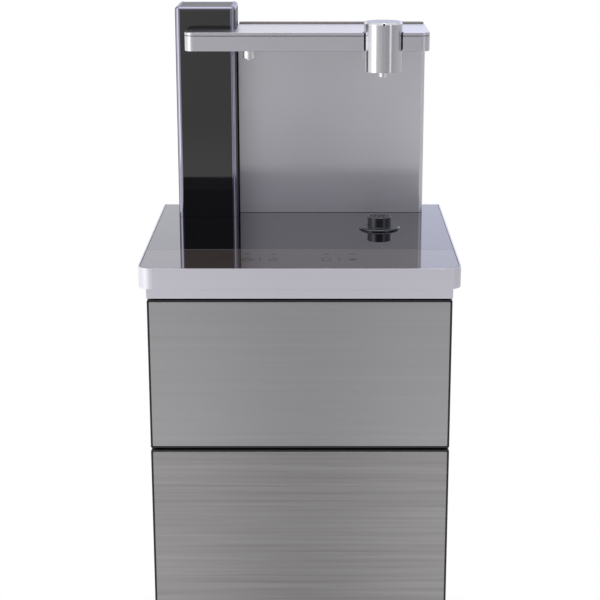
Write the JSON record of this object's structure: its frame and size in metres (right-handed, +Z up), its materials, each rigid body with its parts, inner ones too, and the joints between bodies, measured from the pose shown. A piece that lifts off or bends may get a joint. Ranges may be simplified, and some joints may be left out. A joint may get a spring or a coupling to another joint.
{
  "type": "water cooler",
  "caption": "Free-standing bottom-loading water cooler with a glass counter, kettle coupler, column, arm with tap and nozzle, and hinged doors over storage and bottle compartments.",
  "frame": {"origin": "on the floor under the middle of the counter", "axes": "+Z up; the doors face -Y; +X to the right of a person facing the doors"},
  "size_m": [0.41, 0.388, 1.099],
  "materials": {
    "door_steel": "horizontally brushed, satin",
    "tower_steel": "polished, semi-mirror",
    "frame_aluminium": "bead-blasted and anodised",
    "counter_glass": "black mirror glass",
    "touch_glass": "back-printed smoky glass",
    "gloss_black": "piano black",
    "matt_black": "fine moulded grain",
    "grey_plastic": "moulded grain",
    "white_plastic": "vacuum-formed, satin",
    "white_steel": "powder coat",
    "dark_paint": "fine powder coat",
    "zinc_steel": "zinc plated",
    "tap_steel": "turned and brushed",
    "chrome": "polished",
    "tank_steel": "drawn, satin",
    "copper": "plated contact metal",
    "rubber": "matt",
    "silicone": "food-grade silicone",
    "foam": "closed-cell foam",
    "ceramic": "fired",
    "sink_aluminium": "extruded",
    "circuit_board": "solder mask",
    "red_plastic": "moulded",
    "blue_plastic": "moulded",
    "nylon": "moulded nylon"
  },
  "bodies": {
    "root": {"tower_panel": "tower_steel", "counter_frame": "frame_aluminium", "counter_band": "frame_aluminium", "arm_housing": "frame_aluminium", "arm_cover": "frame_aluminium", "counter_glass": "counter_glass", "touch_glass": "touch_glass", "column_shell": "gloss_black", "column_cap": "gloss_black", "coupler_flange": "matt_black", "coupler_post": "matt_black", "counter_tray": "matt_black", "cord_gland": "matt_black", "switch_housings": "matt_black", "fan_housing": "matt_black", "kettle_pump": "matt_black", "cold_pump": "matt_black", "tap_indicator": "matt_black", "door_magnets": "matt_black", "tower_rear_cover": "grey_plastic", "base_tray": "grey_plastic", "upper_liner": "white_plastic", "bottle_platform": "white_plastic", "left_side_panel": "dark_paint", "right_side_panel": "dark_paint", "rear_panel": "dark_paint", "divider_shelf": "zinc_steel", "arm_bracket": "zinc_steel", "hinge_brackets": "zinc_steel", "foot_screws": "zinc_steel", "rear_screws": "zinc_steel", "tap_body": "tap_steel", "tap_cap": "chrome", "tap_nozzle": "chrome", "side_nozzle": "chrome", "cold_tank": "tank_steel", "coupler_contacts": "copper", "feet": "rubber", "tap_riser": "silicone", "cold_riser": "silicone", "tank_insulation": "foam", "peltier_module": "ceramic", "heat_sink": "sink_aluminium", "touch_board": "circuit_board", "power_board": "circuit_board", "suction_fitting": "nylon"},
    "upper_door": {"upper_door_frame": "matt_black", "upper_door_face": "door_steel", "upper_door_inner": "white_steel", "upper_door_bushes": "nylon", "upper_door_gasket": "rubber"},
    "lower_door": {"lower_door_frame": "matt_black", "lower_door_face": "door_steel", "lower_door_inner": "white_steel", "lower_door_bushes": "nylon", "lower_door_gasket": "rubber"},
    "fan_rotor": {"fan_rotor": "matt_black"},
    "hot_rocker": {"hot_rocker": "red_plastic"},
    "cold_rocker": {"cold_rocker": "blue_plastic"}
  },
  "joints": [
    {"name": "upper_door_hinge", "type": "hinge", "parent": "root", "child": "upper_door", "pos_m": [-0.1895, -0.171, 0.6566], "axis": [0, 0, -1], "range_deg": [0, 105]},
    {"name": "lower_door_hinge", "type": "hinge", "parent": "root", "child": "lower_door", "pos_m": [-0.1895, -0.171, 0.28915], "axis": [0, 0, -1], "range_deg": [0, 105]},
    {"name": "fan_spin", "type": "hinge", "parent": "root", "child": "fan_rotor", "pos_m": [-0.12, 0.15, 0.6352], "axis": [0, 1, 0], "continuous": true},
    {"name": "hot_switch", "type": "hinge", "parent": "root", "child": "hot_rocker", "pos_m": [0.086, 0.1862, 0.488], "axis": [1, 0, 0], "range_deg": [0, 16]},
    {"name": "cold_switch", "type": "hinge", "parent": "root", "child": "cold_rocker", "pos_m": [0.054, 0.1862, 0.488], "axis": [1, 0, 0], "range_deg": [0, 16]}
  ]
}
